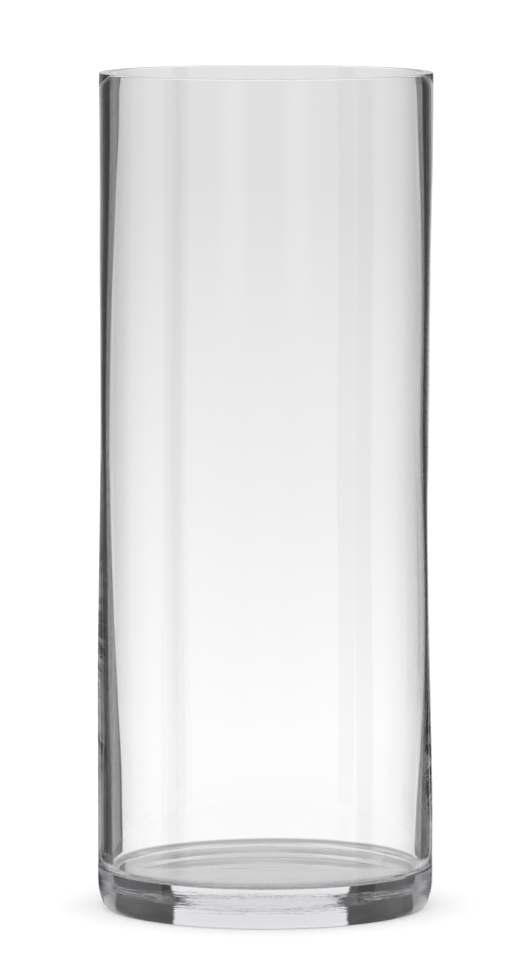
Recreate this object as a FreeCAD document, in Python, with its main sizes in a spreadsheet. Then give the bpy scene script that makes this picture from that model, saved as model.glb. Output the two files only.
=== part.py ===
import FreeCAD, Part
import os

import Sketcher
from FreeCAD import Vector

# A tall cylinder vase for cut flowers, blown from clear glass. Units are millimetres. +Z is up and
# the origin is the centre of the circle that the vase stands on.
#
# The vase is one piece of glass. It is described here in its three formed zones, which meet face to
# face: the heavy base with its rounded inside corner, the slightly waisted wall, and the
# fire-polished rim. Each zone is a body made by turning a half section about the vase's axis.

SHEET = "Sizes"

# name: (millimetres, what it measures)
SIZES = {
    "overall_height": (300.0, "standing face to the top of the rim"),
    "mouth_diameter": (119.7, "outside of the rim"),
    "waist_diameter": (118.2, "outside of the wall at its narrowest"),
    "waist_height": (142.0, "standing face to the narrowest part of the wall"),
    "base_diameter": (120.9, "outside of the base"),
    "lower_bulge": (0.2, "how far the lower wall swells past a straight line from foot to waist"),
    "floor_thickness": (13.5, "glass between the standing face and the inside floor"),
    "floor_corner": (3.0, "radius between the inside floor and the wall"),
    "heel_radius": (3.0, "radius of the heel's edge, beside the standing face"),
    "heel_inset": (4.15, "how far in from the side the standing face stops"),
    "heel_height": (10.0, "height below which the side draws in to the heel's edge"),
    "shoulder_step": (0.1, "how far the base stands out past the foot of the wall"),
    "shoulder_rise": (3.0, "height over which the base draws in to the wall"),
    "foot_wall": (4.5, "wall thickness where it meets the base"),
    "waist_wall": (2.0, "wall thickness at the waist"),
    "rim_wall": (4.0, "wall thickness at the rim"),
    "rim_height": (6.0, "height of the fire-polished zone"),
    "rim_rounding": (0.6, "radius of both edges of the mouth"),
    "standing_ring": (9.5, "width of the flat ring that the vase stands on"),
    "punt_depth": (0.8, "depth, at its centre, of the hollow inside that ring"),
}


def size(name):
    """The way an expression refers to one of the sheet's sizes."""
    return f"{SHEET}.{name}"


# Radii and heights that two zones share, so that they meet whatever size is changed.
BASE_RADIUS = f"({size('base_diameter')} / 2)"
RING_OUTSIDE = f"({BASE_RADIUS} - {size('heel_inset')})"
FOOT_RADIUS = f"({BASE_RADIUS} - {size('shoulder_step')})"
FOOT_BORE = f"({FOOT_RADIUS} - {size('foot_wall')})"
WAIST_RADIUS = f"({size('waist_diameter')} / 2)"
WAIST_BORE = f"({WAIST_RADIUS} - {size('waist_wall')})"
MOUTH_RADIUS = f"({size('mouth_diameter')} / 2)"
MOUTH_BORE = f"({MOUTH_RADIUS} - {size('rim_wall')})"
BASE_HEIGHT = f"({size('floor_thickness')} + {size('floor_corner')})"
WALL_HEIGHT = f"({size('overall_height')} - {size('rim_height')} - {BASE_HEIGHT})"

ORIGIN = (-1, 1)
HEIGHT_AXIS = -2
RADIUS_AXIS = -1
START, END, CENTRE = 1, 2, 3


def make_sheet(doc):
    """Adds the spreadsheet of driving sizes, one row each: its name, its value and what it measures."""
    sheet = doc.addObject("Spreadsheet::Sheet", SHEET)
    for row, (name, (value, meaning)) in enumerate(SIZES.items(), start=1):
        sheet.set(f"A{row}", name)
        sheet.set(f"B{row}", str(value))
        sheet.set(f"C{row}", meaning)
        sheet.setAlias(f"B{row}", name)
    doc.recompute()
    return sheet


def value_of(sheet, expression):
    """The number that an expression gives with the sheet's sizes as they are now."""
    return float(sheet.evalExpression(expression.replace(f"{SHEET}.", "")))


def make_body(doc, label):
    """Adds an empty body, whose label is also the name of its file."""
    body = doc.addObject("PartDesign::Body", f"Body_{label}")
    body.Label = label
    return body


class HalfSection:
    """A sketch on its body's XZ plane: x is the radius from the vase's axis and y is the height."""

    def __init__(self, body, sheet, name):
        self.sheet = sheet
        self.sketch = body.newObject("Sketcher::SketchObject", name)
        planes = [plane for plane in body.Origin.OriginFeatures if plane.Role == "XZ_Plane"]
        self.sketch.AttachmentSupport = [(planes[0], "")]
        self.sketch.MapMode = "FlatFace"

    def point(self, radius, height):
        """Where a pair of expressions puts a point, as a start for the solver."""
        return Vector(value_of(self.sheet, radius), value_of(self.sheet, height), 0)

    def line(self, start, end):
        """Adds a straight edge between two points, each a pair of expressions."""
        return self.sketch.addGeometry(Part.LineSegment(self.point(*start), self.point(*end)), False)

    def arc(self, start, middle, end):
        """Adds an arc from start to end that runs through middle. Returns its number and which of
        its ends is start, because a sketch always stores an arc anticlockwise."""
        first, last = self.point(*start), self.point(*end)
        curve = Part.Arc(first, self.point(*middle), last)
        number = self.sketch.addGeometry(curve, False)
        stored_start = self.sketch.getPoint(number, START)
        turned = stored_start.distanceToPoint(first) > stored_start.distanceToPoint(last)
        return number, (END if turned else START), (START if turned else END)

    def join(self, *ends):
        """Makes two ends, each an edge and an end of it, one point."""
        (first, first_end), (second, second_end) = ends
        self.sketch.addConstraint(
            Sketcher.Constraint("Coincident", first, first_end, second, second_end)
        )

    def tangent(self, *ends):
        """Joins two edges end to end with no corner between them."""
        (first, first_end), (second, second_end) = ends
        self.sketch.addConstraint(
            Sketcher.Constraint("Tangent", first, first_end, second, second_end)
        )

    def hold(self, direction, edge, end, expression, name):
        """Binds the distance of a point from the origin to an expression. Direction is DistanceX
        for a radius and DistanceY for a height."""
        distance = value_of(self.sheet, expression)
        number = self.sketch.addConstraint(
            Sketcher.Constraint(direction, *ORIGIN, edge, end, distance)
        )
        self.sketch.renameConstraint(number, name)
        self.sketch.setExpression(f"Constraints.{name}", expression)

    def place(self, edge, end, radius, height, name):
        """Binds both of a point's coordinates."""
        self.hold("DistanceX", edge, end, radius, f"{name}_radius")
        self.hold("DistanceY", edge, end, height, f"{name}_height")

    def on_axis(self, axis, edge, end):
        """Keeps a point on the vase's axis or on the level of the origin."""
        self.sketch.addConstraint(Sketcher.Constraint("PointOnObject", edge, end, axis))

    def level(self, edge):
        """Keeps an edge horizontal."""
        self.sketch.addConstraint(Sketcher.Constraint("Horizontal", edge))

    def upright(self, edge):
        """Keeps an edge vertical."""
        self.sketch.addConstraint(Sketcher.Constraint("Vertical", edge))

    def pass_through(self, arc, radius, height, name):
        """Makes an arc run through a point."""
        marker = self.sketch.addGeometry(Part.Point(self.point(radius, height)), True)
        self.place(marker, START, radius, height, name)
        self.sketch.addConstraint(Sketcher.Constraint("PointOnObject", marker, START, arc))


def revolve(body, section, kind, name):
    """Turns a half section about the vase's axis, adding glass (Revolution) or taking it (Groove)."""
    feature = body.newObject(f"PartDesign::{kind}", name)
    feature.Profile = section.sketch
    feature.ReferenceAxis = (section.sketch, ["V_Axis"])
    feature.Angle = 360.0
    body.Tip = feature
    return feature


def quarter_turn(centre_radius, centre_height, radius, radial_sign, height_sign):
    """The middle point of a quarter arc that lies out (+1) or in (-1) and up (+1) or down (-1) of
    its centre."""
    reach = f"{radius} * sqrt(0.5)"
    return (
        f"{centre_radius} + {radial_sign} * {reach}",
        f"{centre_height} + {height_sign} * {reach}",
    )


def make_base(doc, sheet):
    """The heavy base: a disc with a rounded heel, whose top is dished to the inside floor and rises
    at the edge, round the floor's corner, to meet the wall."""
    body = make_body(doc, "base")
    section = HalfSection(body, sheet, "BaseSection")
    heel = size("heel_height")
    edge = size("heel_radius")
    corner = size("floor_corner")
    floor = size("floor_thickness")
    corner_centre = f"({FOOT_BORE} - {corner})"
    shoulder = f"({BASE_HEIGHT} - {size('shoulder_rise')})"
    # The side draws in along an arc that starts upright at the heel's top and runs on, with no
    # corner, into the heel's edge. Its radius follows from the edge's place and size.
    drop = f"({heel} - {edge})"
    inset = size("heel_inset")
    sweep = f"(({inset} ^ 2 + {drop} ^ 2 - {edge} ^ 2) / (2 * ({inset} - {edge})))"
    across = f"(({sweep} - {inset}) / ({sweep} - {edge}))"
    down = f"({drop} / ({sweep} - {edge}))"
    touch = (f"{RING_OUTSIDE} + {edge} * {across}", f"{edge} * (1 - {down})")
    half_across = f"sqrt((1 + {across}) / 2)"
    half_down = f"sqrt((1 - {across}) / 2)"
    draw_middle = (
        f"{BASE_RADIUS} - {sweep} + {sweep} * {half_across}",
        f"{heel} - {sweep} * {half_down}",
    )
    edge_middle = (
        f"{RING_OUTSIDE} + {edge} * sqrt((1 - {down}) / 2)",
        f"{edge} * (1 - sqrt((1 + {down}) / 2))",
    )

    standing_face = section.line(("0", "0"), (RING_OUTSIDE, "0"))
    heel_edge, edge_in, edge_out = section.arc((RING_OUTSIDE, "0"), edge_middle, touch)
    heel_side, heel_foot, heel_top = section.arc(touch, draw_middle, (BASE_RADIUS, heel))
    side = section.line((BASE_RADIUS, heel), (BASE_RADIUS, shoulder))
    draw_in = section.line((BASE_RADIUS, shoulder), (FOOT_RADIUS, BASE_HEIGHT))
    seat = section.line((FOOT_RADIUS, BASE_HEIGHT), (FOOT_BORE, BASE_HEIGHT))
    corner_arc, corner_top, corner_foot = section.arc(
        (FOOT_BORE, BASE_HEIGHT),
        quarter_turn(corner_centre, BASE_HEIGHT, corner, 1, -1),
        (corner_centre, floor),
    )
    inside_floor = section.line((corner_centre, floor), ("0", floor))
    axis = section.line(("0", floor), ("0", "0"))

    section.join((axis, END), ORIGIN)
    section.join((axis, END), (standing_face, START))
    section.tangent((standing_face, END), (heel_edge, edge_in))
    section.tangent((heel_edge, edge_out), (heel_side, heel_foot))
    section.tangent((heel_side, heel_top), (side, START))
    section.hold("DistanceX", standing_face, END, RING_OUTSIDE, "ring_outside")
    section.hold("DistanceY", heel_edge, CENTRE, edge, "edge_centre")
    section.join((side, END), (draw_in, START))
    section.join((draw_in, END), (seat, START))
    section.join((seat, END), (corner_arc, corner_top))
    section.tangent((corner_arc, corner_foot), (inside_floor, START))
    section.join((inside_floor, END), (axis, START))
    section.level(standing_face)
    section.level(seat)
    section.level(inside_floor)
    section.upright(axis)
    section.place(side, START, BASE_RADIUS, heel, "heel_top")
    section.place(side, END, BASE_RADIUS, shoulder, "shoulder")
    section.place(draw_in, END, FOOT_RADIUS, BASE_HEIGHT, "foot_outside")
    section.hold("DistanceX", seat, END, FOOT_BORE, "foot_inside")
    section.place(inside_floor, START, corner_centre, floor, "floor_edge")
    revolve(body, section, "Revolution", "BaseTurned")
    return body


def cut_punt(base, sheet):
    """The shallow hollow under the base, which leaves a flat ring for the vase to stand on."""
    section = HalfSection(base, sheet, "PuntSection")
    radius = f"({RING_OUTSIDE} - {size('standing_ring')})"
    depth = size("punt_depth")
    # A circle through the ring's edge and the hollow's top, at half the ring's radius.
    sphere = f"(({radius} ^ 2 + {depth} ^ 2) / (2 * {depth}))"
    half_way = f"({depth} - {sphere} + sqrt({sphere} ^ 2 - ({radius} / 2) ^ 2))"

    mouth = section.line(("0", "0"), (radius, "0"))
    roof, roof_edge, roof_top = section.arc(
        (radius, "0"), (f"{radius} / 2", half_way), ("0", depth)
    )
    axis = section.line(("0", depth), ("0", "0"))
    section.join((axis, END), ORIGIN)
    section.join((axis, END), (mouth, START))
    section.join((mouth, END), (roof, roof_edge))
    section.join((roof, roof_top), (axis, START))
    section.level(mouth)
    section.upright(axis)
    section.on_axis(HEIGHT_AXIS, roof, CENTRE)
    section.hold("DistanceX", mouth, END, radius, "ring_inside")
    section.hold("DistanceY", axis, START, depth, "punt_top")
    return revolve(base, section, "Groove", "Punt")


def make_wall(doc, sheet):
    """The wall: a tube that is narrowest outside and widest inside at the waist, so the glass is
    thin there and thickens towards the base and the rim. Below the waist its outside swells a
    little, and above it flares."""
    body = make_body(doc, "wall")
    body.setExpression("Placement.Base.z", BASE_HEIGHT)
    section = HalfSection(body, sheet, "WallSection")
    waist = f"({size('waist_height')} - {BASE_HEIGHT})"
    swell = f"(({FOOT_RADIUS} + {WAIST_RADIUS}) / 2 + {size('lower_bulge')})"
    # The flare starts upright at the waist, so half way up it has spread about a quarter of the way.
    half_flare = (f"{WAIST_RADIUS} * 0.75 + {MOUTH_RADIUS} * 0.25", f"({waist} + {WALL_HEIGHT}) / 2")

    lower, lower_foot, lower_waist = section.arc(
        (FOOT_RADIUS, "0"), (swell, f"{waist} / 2"), (WAIST_RADIUS, waist)
    )
    upper, upper_waist, upper_top = section.arc(
        (WAIST_RADIUS, waist), half_flare, (MOUTH_RADIUS, WALL_HEIGHT)
    )
    top = section.line((MOUTH_RADIUS, WALL_HEIGHT), (MOUTH_BORE, WALL_HEIGHT))
    inside, inside_top, inside_foot = section.arc(
        (MOUTH_BORE, WALL_HEIGHT), (WAIST_BORE, waist), (FOOT_BORE, "0")
    )
    foot = section.line((FOOT_BORE, "0"), (FOOT_RADIUS, "0"))
    section.join((lower, lower_waist), (upper, upper_waist))
    section.join((upper, upper_top), (top, START))
    section.join((top, END), (inside, inside_top))
    section.join((inside, inside_foot), (foot, START))
    section.join((foot, END), (lower, lower_foot))
    section.level(top)
    section.on_axis(RADIUS_AXIS, foot, START)
    section.on_axis(RADIUS_AXIS, foot, END)
    section.hold("DistanceX", foot, START, FOOT_BORE, "foot_inside")
    section.hold("DistanceX", foot, END, FOOT_RADIUS, "foot_outside")
    section.place(top, START, MOUTH_RADIUS, WALL_HEIGHT, "top_outside")
    section.hold("DistanceX", top, END, MOUTH_BORE, "top_inside")
    section.place(lower, lower_waist, WAIST_RADIUS, waist, "waist_outside")
    section.pass_through(lower, swell, f"{waist} / 2", "swell")
    section.hold("DistanceY", upper, CENTRE, waist, "flare_centre")
    section.pass_through(inside, WAIST_BORE, waist, "waist_inside")
    revolve(body, section, "Revolution", "WallTurned")
    return body


def make_rim(doc, sheet):
    """The rim: the cut mouth of the vase, with both of its edges melted round."""
    body = make_body(doc, "rim")
    body.setExpression("Placement.Base.z", f"{BASE_HEIGHT} + {WALL_HEIGHT}")
    section = HalfSection(body, sheet, "RimSection")
    top_height = size("rim_height")
    rounding = size("rim_rounding")
    edge_height = f"({top_height} - {rounding})"
    outer_centre = f"({MOUTH_RADIUS} - {rounding})"
    inner_centre = f"({MOUTH_BORE} + {rounding})"

    foot = section.line((MOUTH_BORE, "0"), (MOUTH_RADIUS, "0"))
    outside = section.line((MOUTH_RADIUS, "0"), (MOUTH_RADIUS, edge_height))
    outer_arc, outer_foot, outer_top = section.arc(
        (MOUTH_RADIUS, edge_height),
        quarter_turn(outer_centre, edge_height, rounding, 1, 1),
        (outer_centre, top_height),
    )
    top = section.line((outer_centre, top_height), (inner_centre, top_height))
    inner_arc, inner_top, inner_foot = section.arc(
        (inner_centre, top_height),
        quarter_turn(inner_centre, edge_height, rounding, -1, 1),
        (MOUTH_BORE, edge_height),
    )
    inside = section.line((MOUTH_BORE, edge_height), (MOUTH_BORE, "0"))
    section.join((foot, END), (outside, START))
    section.tangent((outside, END), (outer_arc, outer_foot))
    section.tangent((outer_arc, outer_top), (top, START))
    section.tangent((top, END), (inner_arc, inner_top))
    section.tangent((inner_arc, inner_foot), (inside, START))
    section.join((inside, END), (foot, START))
    section.upright(outside)
    section.upright(inside)
    section.level(top)
    section.on_axis(RADIUS_AXIS, foot, START)
    section.on_axis(RADIUS_AXIS, foot, END)
    section.hold("DistanceX", foot, START, MOUTH_BORE, "inside")
    section.place(outside, END, MOUTH_RADIUS, edge_height, "outer_edge")
    section.hold("DistanceX", top, START, outer_centre, "outer_flat")
    section.hold("DistanceX", top, END, inner_centre, "inner_flat")
    revolve(body, section, "Revolution", "RimTurned")
    return body


def check_document(doc, bodies):
    """Stops if any object failed to compute or any zone isn't one sound solid."""
    for item in doc.Objects:
        if {"Invalid", "Error"} & set(item.State):
            raise RuntimeError(f"{item.Label} failed: {item.State}")
    for body in bodies:
        shape = body.Shape
        if shape.isNull() or not shape.isValid() or len(shape.Solids) != 1:
            raise RuntimeError(f"{body.Label} isn't one valid solid")


def write_steps(bodies):
    """Writes each zone to a file of its own in parts/."""
    os.makedirs("parts", exist_ok=True)
    for body in bodies:
        body.Shape.exportStep(f"parts/{body.Label}.step")
        print(f"{body.Label}: {body.Shape.Volume / 1000:.1f} cm3")


def main():
    doc = FreeCAD.newDocument("CylinderVase")
    sheet = make_sheet(doc)
    base = make_base(doc, sheet)
    doc.recompute()
    solid_volume = base.Shape.Volume
    cut_punt(base, sheet)
    wall = make_wall(doc, sheet)
    rim = make_rim(doc, sheet)
    doc.recompute()
    if base.Shape.Volume >= solid_volume:
        raise RuntimeError("the hollow under the base took no glass away")
    bodies = [base, wall, rim]
    check_document(doc, bodies)
    write_steps(bodies)


main()
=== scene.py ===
"""A clear glass cylinder vase in a pale studio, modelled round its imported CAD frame.

The vase is one piece of glass, so one mesh, drawn as a half section and spun about the vase's axis,
stands for all three zones of the frame. Everything is in metres, in the frame's own axes.
"""

import logging
import math
from dataclasses import dataclass, field
from enum import Enum

import bpy
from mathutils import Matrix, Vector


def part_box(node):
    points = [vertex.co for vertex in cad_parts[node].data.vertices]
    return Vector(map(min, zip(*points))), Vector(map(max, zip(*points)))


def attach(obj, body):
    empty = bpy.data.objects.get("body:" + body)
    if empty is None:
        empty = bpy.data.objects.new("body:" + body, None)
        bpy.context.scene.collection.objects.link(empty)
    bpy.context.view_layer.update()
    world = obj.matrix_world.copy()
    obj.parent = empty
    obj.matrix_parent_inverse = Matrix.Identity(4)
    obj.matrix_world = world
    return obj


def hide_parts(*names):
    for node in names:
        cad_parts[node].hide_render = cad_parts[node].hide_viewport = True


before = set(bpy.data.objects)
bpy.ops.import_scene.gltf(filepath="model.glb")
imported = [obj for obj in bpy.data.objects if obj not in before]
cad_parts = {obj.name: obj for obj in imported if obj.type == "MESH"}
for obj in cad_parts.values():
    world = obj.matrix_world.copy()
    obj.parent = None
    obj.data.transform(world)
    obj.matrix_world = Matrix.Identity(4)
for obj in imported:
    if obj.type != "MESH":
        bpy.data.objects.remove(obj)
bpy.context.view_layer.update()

log = logging.getLogger("vase")
MM = 0.001
Point = tuple[float, float]
Triple = tuple[float, float, float]


class Zone(Enum):
    """The frame's nodes that the glass stands for."""

    BASE = "base"
    WALL = "wall"
    RIM = "rim"


class Side(Enum):
    """The two faces of the glass, each with a vertex group of its own."""

    OUTSIDE = "outside"
    INSIDE = "inside"


def deselect_everything() -> None:
    """Leaves object mode's selection empty."""
    for thing in bpy.context.selected_objects:
        thing.select_set(False)


def make_active(piece: bpy.types.Object) -> None:
    """Selects one object alone and makes it the active one."""
    deselect_everything()
    piece.select_set(True)
    bpy.context.view_layer.objects.active = piece


# ---------------------------------------------------------------------------------------------
# Node building
# ---------------------------------------------------------------------------------------------


@dataclass
class NodeMaker:
    """Adds and links nodes in one tree, so that a material reads as a list of steps."""

    tree: bpy.types.NodeTree

    def add(self, kind: str, **settings: object) -> bpy.types.Node:
        """Adds a node and sets its plain properties."""
        node = self.tree.nodes.new(kind)
        for name, value in settings.items():
            setattr(node, name, value)
        return node

    def feed(self, socket: bpy.types.NodeSocket, value: object) -> None:
        """Links another socket into this one, or sets its constant."""
        if isinstance(value, bpy.types.NodeSocket):
            self.tree.links.new(value, socket)
        else:
            socket.default_value = value

    def math(self, operation: str, *values: object, clamp: bool = False) -> bpy.types.NodeSocket:
        """Adds a Math node and returns its result."""
        node = self.add("ShaderNodeMath", operation=operation, use_clamp=clamp)
        for socket, value in zip(node.inputs, values):
            self.feed(socket, value)
        return node.outputs[0]

    def smooth_step(
        self, value: bpy.types.NodeSocket, low: float, high: float, start: float, end: float
    ) -> bpy.types.NodeSocket:
        """Turns a value between low and high into a smooth change from start to end."""
        node = self.add("ShaderNodeMapRange", interpolation_type="SMOOTHSTEP")
        for name, number in (("From Min", low), ("From Max", high), ("To Min", start), ("To Max", end)):
            node.inputs[name].default_value = number
        self.feed(node.inputs["Value"], value)
        return node.outputs["Result"]


# ---------------------------------------------------------------------------------------------
# The glass
# ---------------------------------------------------------------------------------------------


@dataclass(frozen=True)
class Seed:
    """A small pit in the glass, where a bubble opened at the surface."""

    centre: Triple
    radius: float


@dataclass(frozen=True)
class ClearGlass:
    """Colourless soda-lime glass, hot-formed and fire-polished.

    Its surfaces aren't quite even. The wall is gently wavy, the side of the base has fine level
    cords from the mould, and the floor has rings at its edge and a swirl at its middle. Each is a
    height in metres for a Bump node. A scale is in waves to the metre. The rings' zone is two
    distances in from the floor's edge, and the swirl's is two distances out from its middle.
    """

    name: str = "clear_glass"
    refraction: float = 1.5
    tint: Triple = (0.80, 0.79, 0.83)
    tint_density: float = 7.0
    floor_height: float = 13.5 * MM
    floor_radius: float = 52.8 * MM
    side_radius: float = 58.0 * MM
    wave_height: float = 0.03 * MM
    wave_scale: Triple = (30.0, 30.0, 22.0)
    cord_height: float = 0.03 * MM
    cord_scale: Triple = (60.0, 60.0, 1300.0)
    ring_height: float = 0.012 * MM
    ring_scale: float = 700.0
    ring_turn: float = 0.6
    ring_zone: Point = (16.0 * MM, 4.0 * MM)
    swirl_height: float = 0.05 * MM
    swirl_scale: Triple = (70.0, 260.0, 70.0)
    swirl_zone: Point = (8.0 * MM, 42.0 * MM)
    seeds: tuple[Seed, ...] = (
        Seed((35.6 * MM, 15.0 * MM, 13.5 * MM), 0.7 * MM),
        Seed((7.2 * MM, -60.0 * MM, 12.3 * MM), 0.35 * MM),
    )

    def noise(
        self, make: NodeMaker, place: bpy.types.NodeSocket, scale: Triple, detail: float
    ) -> bpy.types.NodeSocket:
        """Adds noise, from -0.5 to 0.5, that is drawn out along the axes with a small scale."""
        stretched = make.add("ShaderNodeVectorMath", operation="MULTIPLY")
        make.feed(stretched.inputs[0], place)
        stretched.inputs[1].default_value = scale
        noise = make.add("ShaderNodeTexNoise")
        noise.inputs["Scale"].default_value = 1.0
        noise.inputs["Detail"].default_value = detail
        make.feed(noise.inputs["Vector"], stretched.outputs["Vector"])
        return make.math("SUBTRACT", noise.outputs["Fac"], 0.5)

    def relief(self, make: NodeMaker) -> bpy.types.NodeSocket:
        """Adds up the unevenness of every surface.

        Returns:
            A height in metres.
        """
        coordinates = make.add("ShaderNodeTexCoord")
        place = coordinates.outputs["Object"]
        parts = make.add("ShaderNodeSeparateXYZ")
        make.feed(parts.inputs[0], place)
        x, y, z = parts.outputs["X"], parts.outputs["Y"], parts.outputs["Z"]
        squares = make.math("ADD", make.math("MULTIPLY", x, x), make.math("MULTIPLY", y, y))
        radius = make.math("SQRT", squares)

        base_top, wall_start = self.floor_height - 0.3 * MM, self.floor_height + 1.5 * MM
        in_base = make.smooth_step(z, base_top, wall_start, 1.0, 0.0)
        on_side = make.smooth_step(radius, self.side_radius - MM, self.side_radius, 0.0, 1.0)
        cords = self.noise(make, place, self.cord_scale, 3.0)
        side = make.math("MULTIPLY", cords, make.math("MULTIPLY", in_base, on_side))

        on_floor = make.math("SUBTRACT", 1.0, on_side)
        flat = make.math("MULTIPLY", on_floor, in_base)
        turned = make.add("ShaderNodeCombineXYZ")
        make.feed(turned.inputs["X"], make.math("MULTIPLY", radius, self.ring_scale))
        around = make.math("ARCTAN2", y, x)
        make.feed(turned.inputs["Y"], make.math("MULTIPLY", around, self.ring_turn))
        rings = self.noise(make, turned.outputs["Vector"], (1.0, 1.0, 1.0), 1.0)
        ring_start, ring_full = (self.floor_radius - inset for inset in self.ring_zone)
        near_edge = make.smooth_step(radius, ring_start, ring_full, 0.15, 1.0)
        swirl = self.noise(make, place, self.swirl_scale, 4.0)
        near_middle = make.smooth_step(radius, *self.swirl_zone, 1.0, 0.1)
        floor = make.math(
            "ADD",
            make.math("MULTIPLY", make.math("MULTIPLY", rings, near_edge), self.ring_height),
            make.math("MULTIPLY", make.math("MULTIPLY", swirl, near_middle), self.swirl_height),
        )

        waves = make.math("MULTIPLY", self.noise(make, place, self.wave_scale, 1.0), self.wave_height)
        total = make.math("MULTIPLY_ADD", side, self.cord_height, waves)
        total = make.math("MULTIPLY_ADD", floor, flat, total)
        for seed in self.seeds:
            away = make.add("ShaderNodeVectorMath", operation="DISTANCE")
            make.feed(away.inputs[0], place)
            away.inputs[1].default_value = seed.centre
            pit = make.smooth_step(away.outputs["Value"], 0.0, seed.radius, -seed.radius, 0.0)
            total = make.math("ADD", total, pit)
        return total

    def build(self) -> bpy.types.Material:
        """Makes the material.

        Returns:
            Smooth glass with a faint lavender-grey body colour and uneven surfaces.
        """
        material = bpy.data.materials.new(self.name)
        material.use_nodes = True
        make = NodeMaker(material.node_tree)
        shader = material.node_tree.nodes["Principled BSDF"]
        output = material.node_tree.nodes["Material Output"]
        shader.inputs["Base Color"].default_value = (1.0, 1.0, 1.0, 1.0)
        shader.inputs["Roughness"].default_value = 0.0
        shader.inputs["IOR"].default_value = self.refraction
        shader.inputs["Transmission Weight"].default_value = 1.0
        bump = make.add("ShaderNodeBump")
        bump.inputs["Strength"].default_value = 1.0
        bump.inputs["Distance"].default_value = 1.0
        make.feed(bump.inputs["Height"], self.relief(make))
        make.feed(shader.inputs["Normal"], bump.outputs["Normal"])
        body = make.add("ShaderNodeVolumeAbsorption")
        body.inputs["Color"].default_value = (*self.tint, 1.0)
        body.inputs["Density"].default_value = self.tint_density
        make.feed(output.inputs["Volume"], body.outputs["Volume"])
        return material


@dataclass(frozen=True)
class Profile:
    """A radius that changes smoothly with height: a curve through given points.

    Each point is a height above the table and a radius, both in millimetres.
    """

    points: tuple[Point, ...]

    def slope(self, number: int) -> float:
        """The curve's slope at one of its points, from the points on both sides of it."""
        low = self.points[max(number - 1, 0)]
        high = self.points[min(number + 1, len(self.points) - 1)]
        return (high[1] - low[1]) / (high[0] - low[0])

    def at(self, z: float) -> float:
        """The radius at a height, both in metres."""
        height = z / MM
        last = len(self.points) - 2
        number = max((i for i in range(last + 1) if self.points[i][0] <= height), default=0)
        (low, start), (high, end) = self.points[number], self.points[number + 1]
        span = high - low
        t = min(max((height - low) / span, 0.0), 1.0)
        return MM * (
            start * (1.0 + 2.0 * t) * (1.0 - t) ** 2
            + end * t * t * (3.0 - 2.0 * t)
            + span * self.slope(number) * t * (1.0 - t) ** 2
            - span * self.slope(number + 1) * t * t * (1.0 - t)
        )


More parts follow.
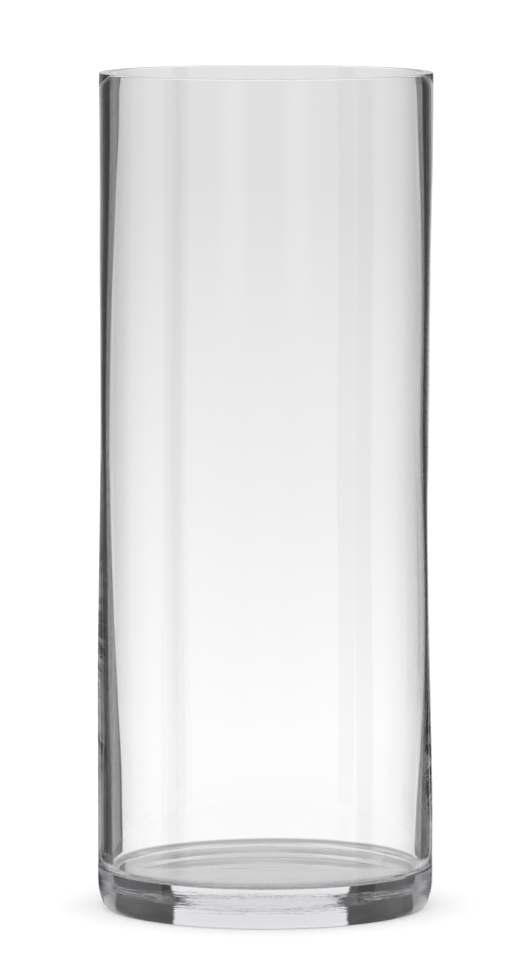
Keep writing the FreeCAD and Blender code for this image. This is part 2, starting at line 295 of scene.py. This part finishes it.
@dataclass
class GlassSection:
    """The half section of the vase: points of radius and height, from the middle of the underside
    out over the heel, up the outside, over the rim, down the inside and in to the floor's middle.

    The base's and the mouth's radius and the zones' heights come from the frame. The wall's two faces
    are this section's own curves, because the glass isn't quite the frame's arcs.
    """

    base_radius: float
    base_height: float
    mouth_radius: float
    rim_foot: float
    height: float
    outer: Profile
    inner: Profile
    heel_inset: float = 4.15 * MM
    heel_rise: float = 10.0 * MM
    heel_radius: float = 3.0 * MM
    edge_tilt: float = 33.0
    corner_height: float = 0.1 * MM
    ring_width: float = 9.5 * MM
    punt_depth: float = 0.8 * MM
    floor: float = 13.5 * MM
    corner: float = 3.0 * MM
    rim_wall: float = 4.0 * MM
    rim_rounding: float = 0.6 * MM
    punt_steps: int = 16
    ring_steps: int = 4
    side_steps: int = 4
    wall_steps: int = 60
    lip_steps: int = 4
    floor_steps: int = 40
    points: list[Point] = field(default_factory=list)

    def outside_radius(self, z: float) -> float:
        """The outside of the wall at a height."""
        return self.outer.at(z)

    def inside_radius(self, z: float) -> float:
        """The inside of the wall at a height."""
        return self.inner.at(z)

    def arc(self, centre: Point, radius: float, start: float, end: float, steps: int) -> None:
        """Adds an arc's points, from one angle in degrees to another."""
        for step in range(steps + 1):
            angle = math.radians(start + (end - start) * step / steps)
            self.add(centre[0] + radius * math.cos(angle), centre[1] + radius * math.sin(angle))

    def add(self, radius: float, z: float) -> None:
        """Adds a point unless it repeats the last one."""
        here = (max(radius, 0.0), z)
        if not self.points or math.dist(here, self.points[-1]) > 1e-7:
            self.points.append(here)

    def underside(self) -> None:
        """The hollow under the base, then the ring it stands on and the heel."""
        ring_outside = self.base_radius - self.heel_inset
        ring_inside = ring_outside - self.ring_width
        for step in range(self.punt_steps):
            share = step / self.punt_steps
            self.add(ring_inside * share, self.punt_depth * (1.0 - share**2))
        self.add(ring_inside, 0.0)
        self.heel(ring_outside)

    def heel(self, ring_outside: float) -> None:
        """The standing ring, the heel's edge, and the long arc in which the side draws in to meet it.

        The long arc starts upright at the heel's top. Near the table the frame's edge is one round
        arc. Here it turns in only as far as edge_tilt and ends in a narrow corner, so that light
        leaves the base there and doesn't run up inside the wall.
        """
        drop = self.heel_rise - self.heel_radius
        squares = self.heel_inset**2 + drop**2 - self.heel_radius**2
        sweep = squares / (2.0 * (self.heel_inset - self.heel_radius))
        tilt = math.degrees(math.asin(drop / (sweep - self.heel_radius)))
        rise, run = math.sin(math.radians(tilt)), math.cos(math.radians(tilt))
        low = self.heel_rise - sweep * rise
        side = self.base_radius - sweep * (1.0 - run)
        turn = (low - self.corner_height) / (math.sin(math.radians(self.edge_tilt)) - rise)
        centre = (side - turn * run, low + turn * rise)
        foot = centre[0] + turn * math.cos(math.radians(self.edge_tilt))
        for step in range(self.ring_steps + 1):
            share = step / self.ring_steps
            self.add(ring_outside + (foot - self.corner_height - ring_outside) * share, 0.0)
        self.arc(centre, turn, -self.edge_tilt, -tilt, 12)
        self.arc((self.base_radius - sweep, self.heel_rise), sweep, -tilt, 0.0, 8)

    def outside(self) -> None:
        """The side of the base and the outside of the wall."""
        for step in range(1, self.side_steps):
            z = self.heel_rise + (self.base_height - self.heel_rise) * step / self.side_steps
            self.add(self.base_radius, z)
        for step in range(self.wall_steps + 1):
            z = self.base_height + (self.rim_foot - self.base_height) * step / self.wall_steps
            self.add(self.outside_radius(z), z)

    def rim(self) -> None:
        """The rounded outer edge, the narrow flat and the rounded inner edge of the mouth."""
        bore = self.mouth_radius - self.rim_wall
        edge = self.height - self.rim_rounding
        self.arc((self.mouth_radius - self.rim_rounding, edge), self.rim_rounding, 0.0, 90.0, 8)
        for step in range(1, self.lip_steps):
            share = step / self.lip_steps
            self.add(self.mouth_radius + (bore - self.mouth_radius) * share, self.height)
        self.arc((bore + self.rim_rounding, edge), self.rim_rounding, 90.0, 180.0, 8)

    def inside(self) -> None:
        """The inside of the wall, the rounded corner and the floor."""
        for step in range(self.wall_steps + 1):
            z = self.rim_foot + (self.base_height - self.rim_foot) * step / self.wall_steps
            self.add(self.inside_radius(z), z)
        corner_centre = self.inside_radius(self.base_height) - self.corner
        self.arc((corner_centre, self.base_height), self.corner, 0.0, -90.0, 12)
        for step in range(1, self.floor_steps + 1):
            self.add(corner_centre * (1.0 - step / self.floor_steps), self.floor)

    def draw(self) -> list[Point]:
        """Works out the whole section.

        Returns:
            Its points, the first and the last on the vase's axis.
        """
        self.points.clear()
        self.underside()
        self.outside()
        self.rim()
        self.inside()
        return self.points


OUTER_FACE = Profile(
    (
        (16.5, 60.4),
        (40.0, 60.4),
        (73.0, 60.05),
        (106.0, 59.6),
        (140.0, 59.1),
        (170.0, 59.1),
        (236.0, 59.4),
        (294.0, 59.85),
    )
)

INNER_FACE = Profile(
    (
        (16.5, 55.85),
        (45.0, 56.45),
        (76.0, 57.15),
        (108.0, 57.3),
        (155.0, 56.9),
        (215.0, 56.85),
        (254.0, 56.4),
        (279.0, 55.95),
        (294.0, 55.85),
    )
)


@dataclass(frozen=True)
class Drift:
    """How far one face of the wall wanders sideways, because the vase was blown by hand.

    The path holds heights above the table and distances to the right, in millimetres.
    """

    side: Side
    path: Profile

    def reach(self) -> float:
        """The longest distance that the face moves, in millimetres."""
        return max(abs(offset) for _, offset in self.path.points)


OUTER_DRIFT = Drift(
    Side.OUTSIDE,
    Profile(
        (
            (20.0, 0.0),
            (38.0, 0.0),
            (84.0, -0.5),
            (110.0, -0.57),
            (148.0, -0.44),
            (168.0, -0.2),
            (236.0, 0.0),
            (268.0, 0.3),
            (300.0, 0.28),
        )
    ),
)

INNER_DRIFT = Drift(
    Side.INSIDE,
    Profile(
        (
            (14.0, 0.2),
            (55.0, 0.42),
            (110.0, 0.08),
            (160.0, -0.35),
            (218.0, 0.05),
            (272.0, 0.4),
            (300.0, 0.25),
        )
    ),
)


@dataclass
class VaseGlass:
    """The vase itself: the section spun once round, then made as uneven as hand-blown glass."""

    section: GlassSection
    finish: ClearGlass
    drifts: tuple[Drift, ...] = (OUTER_DRIFT, INNER_DRIFT)
    steps_round: int = 192

    def draw_section(self) -> bpy.types.Object:
        """Extrudes the half section, point by point, from one starting vertex."""
        points = self.section.draw()
        deselect_everything()
        bpy.ops.mesh.primitive_plane_add(size=MM)
        glass = bpy.context.object
        glass.name = "vase_glass"
        bpy.ops.object.mode_set(mode="EDIT")
        bpy.ops.mesh.select_mode(type="VERT")
        bpy.ops.mesh.select_all(action="SELECT")
        bpy.ops.mesh.merge(type="CENTER")
        first = points[0]
        bpy.ops.transform.translate(value=(first[0], 0.0, first[1]))
        for here, there in zip(points, points[1:]):
            step = (there[0] - here[0], 0.0, there[1] - here[1])
            bpy.ops.mesh.extrude_vertices_move(TRANSFORM_OT_translate={"value": step})
        return glass

    def spin(self, glass: bpy.types.Object) -> None:
        """Turns the section about the axis and closes the seam and both poles."""
        bpy.ops.mesh.select_all(action="SELECT")
        bpy.ops.mesh.spin(
            steps=self.steps_round,
            angle=math.tau,
            center=(0.0, 0.0, 0.0),
            axis=(0.0, 0.0, 1.0),
        )
        bpy.ops.mesh.select_all(action="SELECT")
        bpy.ops.mesh.remove_doubles(threshold=0.001 * MM)
        bpy.ops.mesh.normals_make_consistent(inside=False)
        bpy.ops.object.mode_set(mode="OBJECT")
        bpy.ops.object.shade_smooth()

    def is_outside(self, radius: float, z: float) -> bool:
        """Says whether a point of the glass is nearer to its outer face."""
        return radius > (self.section.outside_radius(z) + self.section.inside_radius(z)) / 2.0

    def weigh(self, glass: bpy.types.Object, drift: Drift, way: float) -> str:
        """Gives one face a vertex group for its drift to one side.

        Args:
            glass: The spun mesh.
            drift: The face and its path.
            way: 1 for the part of the path that goes right, -1 for the part that goes left.

        Returns:
            The group's name.
        """
        name = f"{drift.side.value}_{'right' if way > 0.0 else 'left'}"
        group = glass.vertex_groups.new(name=name)
        for vertex in glass.data.vertices:
            place = vertex.co
            low = place.z < self.section.floor
            outside = low or self.is_outside(math.hypot(place.x, place.y), place.z)
            if outside != (drift.side is Side.OUTSIDE):
                continue
            share = way * drift.path.at(place.z) / MM / drift.reach()
            if share > 0.0:
                group.add([vertex.index], min(share, 1.0), "REPLACE")
        return name

    def sway(self, glass: bpy.types.Object) -> None:
        """Moves each face along its path with Displace modifiers, and applies them."""
        make_active(glass)
        for drift in self.drifts:
            for way in (1.0, -1.0):
                name = self.weigh(glass, drift, way)
                modifier = glass.modifiers.new(name, "DISPLACE")
                modifier.direction = "X"
                modifier.mid_level = 0.0
                modifier.strength = way * drift.reach() * MM
                modifier.vertex_group = name
                bpy.ops.object.modifier_apply(modifier=name)

    def build(self) -> bpy.types.Object:
        """Makes the vase.

        Returns:
            The finished mesh, which stands for every zone of the frame.
        """
        glass = self.draw_section()
        self.spin(glass)
        self.sway(glass)
        glass.data.materials.append(self.finish.build())
        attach(glass, "root")
        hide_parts(*(zone.value for zone in Zone))
        log.info("%s: %d faces", glass.name, len(glass.data.polygons))
        return glass


# ---------------------------------------------------------------------------------------------
# The studio
# ---------------------------------------------------------------------------------------------


@dataclass
class StudioCamera:
    """A long lens, level sideways, that looks down a little at the vase."""

    distance: float = 2.729
    height: float = 0.4249
    sideways: float = -2.45 * MM
    pitch: float = 5.677
    lens: float = 286.6

    def build(self) -> None:
        """Adds the camera and makes it the scene's."""
        data = bpy.data.cameras.new("studio_camera")
        data.lens = self.lens
        data.clip_end = 20.0
        camera = bpy.data.objects.new("studio_camera", data)
        bpy.context.scene.collection.objects.link(camera)
        camera.location = (self.sideways, -self.distance, self.height)
        camera.rotation_euler = (math.radians(90.0 - self.pitch), 0.0, 0.0)
        bpy.context.scene.camera = camera


@dataclass
class LightTent:
    """The surroundings that show in the glass: a small round tent of soft light about the vase.

    Straight behind the vase is a bright sheet. Upright slots in the tent, one on each side of the
    sheet and one further round on each side, let the dim room show and draw the edges of the glass.
    The rest is plain and soft, with two brighter strips. Nothing here moves with the camera. The tent
    isn't seen directly, and the table gets the same light from all of it.

    Each stop is a bearing in degrees from straight behind the vase, right positive, and a brightness.
    A slot is a pair of bearings. Heights are above the tent's middle. Below ground_high the tent
    stands for the table, and above crown_low it is open.
    """

    radius: float = 0.6
    height: float = 0.10
    floor_light: float = 1.3
    sheet_low: Point = (-0.14, 1.02)
    sheet_high: Point = (0.14, 0.776)
    strip_gain: float = 0.28
    strip_low: float = 0.03
    strip_high: float = 0.15
    ground_level: float = 0.45
    ground_low: float = -0.38
    ground_high: float = -0.30
    crown_level: float = 0.3
    crown_low: float = 0.36
    crown_high: float = 0.46
    stops: tuple[Point, ...] = (
        (-180.0, 0.8),
        (-110.0, 0.85),
        (-78.0, 0.8),
        (-64.0, 0.36),
        (-47.0, 0.33),
        (-18.2, 1.0),
        (21.0, 1.0),
        (49.0, 0.33),
        (64.0, 0.36),
        (78.0, 0.8),
        (110.0, 0.85),
        (180.0, 0.8),
    )
    strips: tuple[Point, ...] = (
        (-180.0, 0.0),
        (-170.0, 0.0),
        (-162.0, 1.0),
        (-153.0, 1.0),
        (-145.0, 0.0),
        (145.0, 0.0),
        (153.0, 1.0),
        (162.0, 1.0),
        (170.0, 0.0),
        (180.0, 0.0),
    )
    slots: tuple[Point, ...] = (
        (-122.0, -108.0),
        (-47.5, -17.8),
        (20.6, 49.5),
        (103.0, 117.0),
    )
    slot_edge: float = 0.8

    def place(self, make: NodeMaker) -> tuple[bpy.types.NodeSocket, bpy.types.NodeSocket]:
        """Works out where on the tent a point is.

        Returns:
            The bearing from 0 to 1, with 0.5 straight behind the vase, and the height in metres above
            the tent's middle.
        """
        place = make.add("ShaderNodeTexCoord")
        parts = make.add("ShaderNodeSeparateXYZ")
        make.feed(parts.inputs[0], place.outputs["Object"])
        turn = make.math("ARCTAN2", parts.outputs["X"], parts.outputs["Y"])
        return make.math("MULTIPLY_ADD", turn, 1.0 / math.tau, 0.5), parts.outputs["Z"]

    def ramp(
        self, make: NodeMaker, bearing: bpy.types.NodeSocket, stops: tuple[Point, ...], kind: str
    ) -> bpy.types.NodeSocket:
        """Adds a Color Ramp that turns the bearing into a level no higher than one."""
        ramp = make.add("ShaderNodeValToRGB")
        ramp.color_ramp.interpolation = kind
        elements = ramp.color_ramp.elements
        while len(elements) > 1:
            elements.remove(elements[-1])
        for number, (angle, level) in enumerate(stops):
            place = angle / 360.0 + 0.5
            stop = elements[0] if number == 0 else elements.new(place)
            stop.position = place
            stop.color = (level, level, level, 1.0)
        make.feed(ramp.inputs["Fac"], bearing)
        return ramp.outputs["Color"]

    def opening(self, make: NodeMaker, bearing: bpy.types.NodeSocket) -> bpy.types.NodeSocket:
        """Makes the slots' mask: 1 in a slot and 0 beside it, with a soft edge slot_edge wide."""
        degrees = make.math("MULTIPLY", make.math("SUBTRACT", bearing, 0.5), 360.0)
        edge = self.slot_edge / 2.0
        mask = None
        for low, high in self.slots:
            middle, half = (low + high) / 2.0, (high - low) / 2.0
            # The angle from the slot's middle, brought into the half turn on each side of it.
            turned = make.math("WRAP", make.math("SUBTRACT", degrees, middle), 180.0, -180.0)
            away = make.math("ABSOLUTE", turned)
            slot = make.smooth_step(away, half - edge, half + edge, 1.0, 0.0)
            mask = slot if mask is None else make.math("MAXIMUM", mask, slot)
        return mask

    def material(self) -> bpy.types.Material:
        """Makes the tent's light."""
        material = bpy.data.materials.new("light_tent")
        material.use_nodes = True
        tree = material.node_tree
        tree.nodes.clear()
        make = NodeMaker(tree)
        bearing, height = self.place(make)
        around = self.ramp(make, bearing, self.stops, "LINEAR")
        # The sheet is brighter low down, where it sweeps on to the table.
        fall = make.add("ShaderNodeMapRange")
        for name, number in zip(
            ("From Min", "From Max", "To Min", "To Max"),
            (self.sheet_low[0], self.sheet_high[0], self.sheet_low[1], self.sheet_high[1]),
        ):
            fall.inputs[name].default_value = number
        make.feed(fall.inputs["Value"], height)
        plain = make.math("MULTIPLY", around, fall.outputs["Result"])
        strips = self.ramp(make, bearing, self.strips, "EASE")
        reach = make.smooth_step(height, self.strip_low, self.strip_high, 0.0, self.strip_gain)
        above = make.math("MULTIPLY_ADD", strips, reach, plain)
        # Rays that leave the glass steeply downwards meet the table close to the vase's foot.
        steep = make.add("ShaderNodeMix", data_type="FLOAT")
        clear = make.smooth_step(height, self.ground_low, self.ground_high, 0.0, 1.0)
        make.feed(steep.inputs["Factor"], clear)
        steep.inputs["A"].default_value = self.ground_level
        make.feed(steep.inputs["B"], above)
        # The tent is open at its top, so light that comes up through the wall to the rim is dim.
        crown = make.add("ShaderNodeMix", data_type="FLOAT")
        at_top = make.smooth_step(height, self.crown_low, self.crown_high, 0.0, 1.0)
        make.feed(crown.inputs["Factor"], at_top)
        make.feed(crown.inputs["A"], steep.outputs["Result"])
        crown.inputs["B"].default_value = self.crown_level
        path = make.add("ShaderNodeLightPath")
        soft = make.math("GREATER_THAN", path.outputs["Diffuse Depth"], 0.5)
        mixed = make.add("ShaderNodeMix", data_type="FLOAT")
        make.feed(mixed.inputs["Factor"], soft)
        make.feed(mixed.inputs["A"], crown.outputs["Result"])
        make.feed(mixed.inputs["B"], self.floor_light)
        light = make.add("ShaderNodeEmission")
        make.feed(light.inputs["Strength"], mixed.outputs["Result"])
        hole = make.add("ShaderNodeBsdfTransparent")
        cloth = make.add("ShaderNodeMixShader")
        hard = make.math("SUBTRACT", 1.0, soft)
        make.feed(cloth.inputs["Fac"], make.math("MULTIPLY", self.opening(make, bearing), hard))
        make.feed(cloth.inputs[1], light.outputs["Emission"])
        make.feed(cloth.inputs[2], hole.outputs["BSDF"])
        output = make.add("ShaderNodeOutputMaterial")
        make.feed(output.inputs["Surface"], cloth.outputs["Shader"])
        material.cycles.emission_sampling = "NONE"
        return material

    def build(self) -> bpy.types.Object:
        """Makes the tent about the vase."""
        deselect_everything()
        bpy.ops.mesh.primitive_uv_sphere_add(
            segments=192, ring_count=96, radius=self.radius, location=(0.0, 0.0, self.height)
        )
        tent = bpy.context.object
        tent.name = "light_tent"
        bpy.ops.object.shade_smooth()
        tent.data.materials.append(self.material())
        tent.visible_camera = False
        tent.visible_shadow = False
        return tent


@dataclass
class DimRoom:
    """The room round the tent, which shows in the glass through the tent's slots.

    Its wall is dark. Its floor is pale, so a look down through a slot meets light again.
    """

    radius: float = 2.0
    wall_level: float = 0.05
    floor_level: float = 0.75
    floor_top: float = -0.5
    wall_foot: float = -0.44

    def material(self) -> bpy.types.Material:
        """Makes the room's faint light."""
        material = bpy.data.materials.new("dim_room")
        material.use_nodes = True
        tree = material.node_tree
        tree.nodes.clear()
        make = NodeMaker(tree)
        place = make.add("ShaderNodeTexCoord")
        parts = make.add("ShaderNodeSeparateXYZ")
        make.feed(parts.inputs[0], place.outputs["Object"])
        level = make.smooth_step(
            parts.outputs["Z"], self.floor_top, self.wall_foot, self.floor_level, self.wall_level
        )
        light = make.add("ShaderNodeEmission")
        make.feed(light.inputs["Strength"], level)
        output = make.add("ShaderNodeOutputMaterial")
        make.feed(output.inputs["Surface"], light.outputs["Emission"])
        material.cycles.emission_sampling = "NONE"
        return material

    def build(self) -> None:
        """Makes the room about the tent."""
        deselect_everything()
        bpy.ops.mesh.primitive_uv_sphere_add(segments=96, ring_count=48, radius=self.radius)
        room = bpy.context.object
        room.name = "dim_room"
        bpy.ops.object.shade_smooth()
        room.data.materials.append(self.material())
        room.visible_camera = False
        room.visible_diffuse = False
        room.visible_shadow = False


@dataclass
class StudioTable:
    """The plain pale surface that the vase stands on, which runs on far beyond it.

    The part of it under the vase, where little light gets in, is a darker disc of its own. Only the
    disc shows in the glass: beyond it, the tent goes on below the table's level.
    """

    half_width: float = 6.0
    gap: float = 0.2 * MM
    level: float = 0.95
    shaded_level: float = 0.85
    shaded_radius: float = 57.0 * MM

    def material(self, name: str, level: float) -> bpy.types.Material:
        """Makes matt board."""
        material = bpy.data.materials.new(name)
        material.use_nodes = True
        shader = material.node_tree.nodes["Principled BSDF"]
        shader.inputs["Roughness"].default_value = 0.9
        shader.inputs["Specular IOR Level"].default_value = 0.0
        shader.inputs["Base Color"].default_value = (level, level, level, 1.0)
        return material

    def build(self) -> None:
        """Lays the table and the shaded disc just under the vase."""
        deselect_everything()
        bpy.ops.mesh.primitive_plane_add(size=2.0 * self.half_width, location=(0.0, 0.0, -self.gap))
        table = bpy.context.object
        table.name = "studio_table"
        table.data.materials.append(self.material("white_board", self.level))
        table.visible_transmission = False
        table.visible_glossy = False
        bpy.ops.mesh.primitive_circle_add(
            vertices=96, radius=self.shaded_radius, fill_type="NGON", location=(0.0, 0.0, -self.gap / 2.0)
        )
        shaded = bpy.context.object
        shaded.name = "shaded_table"
        shaded.data.materials.append(self.material("shaded_board", self.shaded_level))


def set_world_and_view(level: float = 1.3, bounces: int = 96, glossy_bounces: int = 48) -> None:
    """Makes the background plain white, and lets light bounce on through the thick glass.

    Args:
        level: The background's brightness.
        bounces: How often light may pass or turn at a surface of the glass.
        glossy_bounces: How often it may be reflected.
    """
    scene = bpy.context.scene
    world = bpy.data.worlds.new("white_surround")
    scene.world = world
    world.use_nodes = True
    world.node_tree.nodes["Background"].inputs["Color"].default_value = (level, level, level, 1.0)
    scene.view_settings.view_transform = "Standard"
    scene.cycles.max_bounces = bounces
    scene.cycles.transmission_bounces = bounces
    scene.cycles.glossy_bounces = glossy_bounces
    scene.cycles.use_denoising = True


def main() -> None:
    """Builds the studio, then the vase, and logs the vase's face count."""
    logging.basicConfig(level=logging.INFO, format="%(name)s: %(message)s")
    StudioCamera().build()
    set_world_and_view()
    StudioTable().build()
    LightTent().build()
    DimRoom().build()
    base_low, base_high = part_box(Zone.BASE.value)
    rim_low, rim_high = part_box(Zone.RIM.value)
    section = GlassSection(
        base_radius=(base_high[0] - base_low[0]) / 2.0,
        base_height=base_high[2],
        mouth_radius=(rim_high[0] - rim_low[0]) / 2.0,
        rim_foot=rim_low[2],
        height=rim_high[2],
        outer=OUTER_FACE,
        inner=INNER_FACE,
    )
    VaseGlass(section, ClearGlass()).build()


if __name__ == "__main__":
    main()
